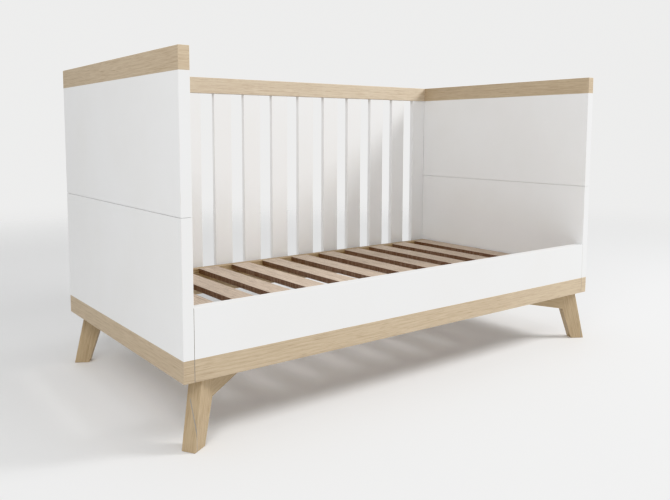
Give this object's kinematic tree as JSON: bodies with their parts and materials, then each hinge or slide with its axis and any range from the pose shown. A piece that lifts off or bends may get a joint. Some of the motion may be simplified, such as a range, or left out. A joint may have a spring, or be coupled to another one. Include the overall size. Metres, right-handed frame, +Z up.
{
  "type": "convertible cot bed",
  "caption": "Convertible child's cot bed with panelled ends, slatted back, low front, splayed legs and a height-adjustable slatted base.",
  "frame": {"origin": "on the floor, in the middle of the bed's outline", "axes": "+X along the bed to its right end, +Y from the low front to the slatted back, +Z up"},
  "size_m": [1.462, 0.7736, 0.8555],
  "materials": {
    "oak": "matt oiled pale oak, straight grain",
    "white_lacquer": "smooth white satin lacquer on board",
    "base_timber": "planed brown hardwood, untreated",
    "dowel_beech": "turned beech",
    "zinc": "dull zinc plating",
    "fastener_steel": "bright zinc-plated steel",
    "bracket_steel": "pale grey powder coat, fine texture"
  },
  "bodies": {
    "frame": {"back_bottom_rail": "oak", "back_lower_rail": "white_lacquer", "back_slat_01": "white_lacquer", "back_slat_02": "white_lacquer", "back_slat_03": "white_lacquer", "back_slat_04": "white_lacquer", "back_slat_05": "white_lacquer", "back_slat_06": "white_lacquer", "back_slat_07": "white_lacquer", "back_slat_08": "white_lacquer", "back_slat_09": "white_lacquer", "back_slat_10": "white_lacquer", "back_slat_11": "white_lacquer", "back_slat_12": "white_lacquer", "back_slat_13": "white_lacquer", "back_top_rail": "oak", "base_support_brackets": "bracket_steel", "bracket_screws": "fastener_steel", "cam_bolts": "zinc", "cam_discs": "zinc", "end_bottom_rail_left": "oak", "end_bottom_rail_right": "oak", "end_cap_rail_left": "oak", "end_cap_rail_right": "oak", "end_lower_panel_left": "white_lacquer", "end_lower_panel_right": "white_lacquer", "end_upper_panel_left": "white_lacquer", "end_upper_panel_right": "white_lacquer", "front_bottom_rail": "oak", "front_low_panel": "white_lacquer", "leg_back_left": "oak", "leg_back_right": "oak", "leg_bolts": "fastener_steel", "leg_brace_back_left": "oak", "leg_brace_back_right": "oak", "leg_brace_front_left": "oak", "leg_brace_front_right": "oak", "leg_bracket_back_left": "bracket_steel", "leg_bracket_back_right": "bracket_steel", "leg_bracket_front_left": "bracket_steel", "leg_bracket_front_right": "bracket_steel", "leg_front_left": "oak", "leg_front_right": "oak", "wood_dowels": "dowel_beech"},
    "slatted_base": {"base_rail_back": "base_timber", "base_rail_front": "base_timber", "base_slat_01": "base_timber", "base_slat_02": "base_timber", "base_slat_03": "base_timber", "base_slat_04": "base_timber", "base_slat_05": "base_timber", "base_slat_06": "base_timber", "base_slat_07": "base_timber", "base_slat_08": "base_timber", "base_slat_09": "base_timber", "base_slat_10": "base_timber", "base_slat_11": "base_timber", "base_slat_12": "base_timber", "base_slat_screws": "fastener_steel"}
  },
  "joints": [
    {"name": "base_height", "type": "slide", "parent": "frame", "child": "slatted_base", "axis": [0, 0, 1], "range_m": [0, 0.26]}
  ]
}
